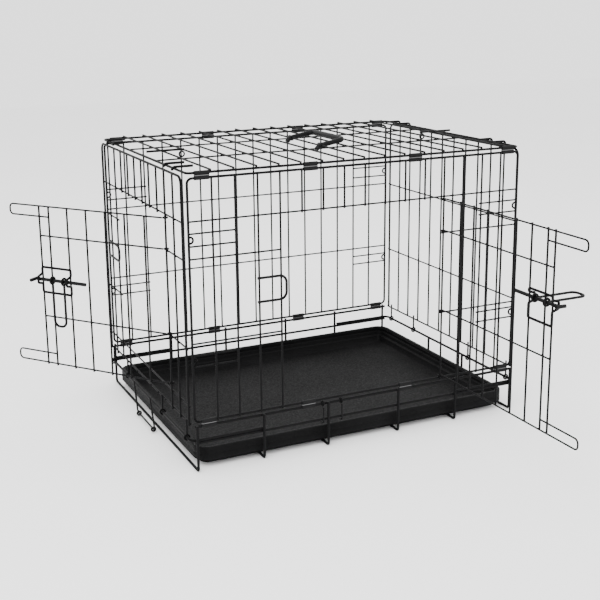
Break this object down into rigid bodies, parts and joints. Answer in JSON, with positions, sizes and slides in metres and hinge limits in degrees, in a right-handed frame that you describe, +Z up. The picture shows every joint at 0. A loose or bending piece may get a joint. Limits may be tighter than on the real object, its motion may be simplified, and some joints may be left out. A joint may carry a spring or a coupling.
{
  "type": "wire dog crate",
  "caption": "Folding wire dog crate with a front door, an end door, slide bolts, a pull-out floor pan and a fold-down carry handle.",
  "frame": {"origin": "centre of the crate's rectangular footprint, on the floor", "axes": "+X along the front toward the plain end, +Y from the front door side to the back, +Z up"},
  "size_m": [0.8274, 0.8321, 0.5006],
  "materials": {
    "coated_wire": "black powder coat",
    "clip_steel": "black coated spring steel",
    "pan_plastic": "black moulded plastic with a fine grain",
    "handle_plastic": "black moulded plastic"
  },
  "bodies": {
    "base": {"base_frame": "coated_wire", "clips_bottom_front": "clip_steel", "clips_bottom_back": "clip_steel"},
    "front": {"front_panel": "coated_wire", "front_keeper": "coated_wire"},
    "back": {"back_panel": "coated_wire"},
    "top": {"top_panel": "coated_wire", "clips_top_front": "clip_steel", "clips_top_back": "clip_steel", "top_hooks_left": "coated_wire", "top_hooks_right": "coated_wire", "top_catch_left": "coated_wire", "top_catch_right": "coated_wire"},
    "left_end": {"left_end_panel": "coated_wire", "end_keeper": "coated_wire"},
    "right_end": {"right_end_panel": "coated_wire"},
    "front_door": {"front_door": "coated_wire", "front_door_bracket": "coated_wire"},
    "front_bolt": {"front_bolt": "coated_wire"},
    "front_lever": {"front_lever": "coated_wire"},
    "end_door": {"end_door": "coated_wire", "end_door_bracket": "coated_wire"},
    "end_bolt": {"end_bolt": "coated_wire"},
    "end_lever": {"end_lever": "coated_wire"},
    "pan": {"pan": "pan_plastic"},
    "pan_stop": {"pan_stop": "coated_wire"},
    "carry_handle": {"carry_handle": "handle_plastic"},
    "fold_hook_left": {"fold_hook_left": "coated_wire"},
    "fold_hook_right": {"fold_hook_right": "coated_wire"}
  },
  "joints": [
    {"name": "front_fold", "type": "hinge", "parent": "base", "child": "front", "pos_m": [0, -0.2286, 0.084], "axis": [-1, 0, 0], "range_deg": [0, 82]},
    {"name": "back_fold", "type": "hinge", "parent": "base", "child": "back", "pos_m": [0, 0.2286, 0.084], "axis": [-1, 0, 0], "range_deg": [0, 82]},
    {"name": "top_fold", "type": "hinge", "parent": "back", "child": "top", "pos_m": [0, 0.2286, 0.4755], "axis": [-1, 0, 0], "range_deg": [-82, 0]},
    {"name": "left_end_fold", "type": "hinge", "parent": "base", "child": "left_end", "pos_m": [-0.3118, 0, 0.0526], "axis": [0, 1, 0], "range_deg": [0, 90]},
    {"name": "right_end_fold", "type": "hinge", "parent": "base", "child": "right_end", "pos_m": [0.3118, 0, 0.0526], "axis": [0, -1, 0], "range_deg": [0, 86]},
    {"name": "front_door_swing", "type": "hinge", "parent": "front", "child": "front_door", "pos_m": [0.1524, -0.23225, 0.25], "axis": [0, 0, -1], "range_deg": [-25, 90]},
    {"name": "front_bolt_slide", "type": "slide", "parent": "front_door", "child": "front_bolt", "axis": [0, -1, 0], "range_m": [-0.002, 0.015]},
    {"name": "front_lever_swing", "type": "hinge", "parent": "front_bolt", "child": "front_lever", "pos_m": [0.1684, -0.48025, 0.288], "axis": [0, 1, 0], "range_deg": [-60, 90]},
    {"name": "end_door_swing", "type": "hinge", "parent": "left_end", "child": "end_door", "pos_m": [-0.3118, -0.14038, 0.26], "axis": [0, 0, -1], "range_deg": [-75, 38]},
    {"name": "end_bolt_slide", "type": "slide", "parent": "end_door", "child": "end_bolt", "axis": [-0.6157, 0.788, 0], "range_m": [-0.003, 0.016]},
    {"name": "end_lever_swing", "type": "hinge", "parent": "end_bolt", "child": "end_lever", "pos_m": [-0.4537, 0.01525, 0.277], "axis": [0.6157, -0.788, 0], "range_deg": [-120, 0]},
    {"name": "pan_slide", "type": "slide", "parent": "base", "child": "pan", "axis": [1, 0, 0], "range_m": [-0.42, 0]},
    {"name": "pan_stop_swing", "type": "hinge", "parent": "pan", "child": "pan_stop", "pos_m": [-0.31675, -0.0026, 0.006], "axis": [0, 1, 0], "range_deg": [-85, 0]},
    {"name": "handle_swing", "type": "hinge", "parent": "top", "child": "carry_handle", "pos_m": [0, -0.0086, 0.48715], "axis": [0, 1, 0], "range_deg": [-158, 0]},
    {"name": "fold_hook_left_swing", "type": "hinge", "parent": "base", "child": "fold_hook_left", "pos_m": [-0.0778, -0.2286, 0.076], "axis": [1, 0, 0], "range_deg": [-60, 0]},
    {"name": "fold_hook_right_swing", "type": "hinge", "parent": "base", "child": "fold_hook_right", "pos_m": [-0.0428, -0.2286, 0.076], "axis": [1, 0, 0], "range_deg": [-60, 0]}
  ],
  "couplings": [
    {"joint": "back_fold", "follows": "front_fold", "ratio": 1},
    {"joint": "top_fold", "follows": "front_fold", "ratio": -1}
  ]
}
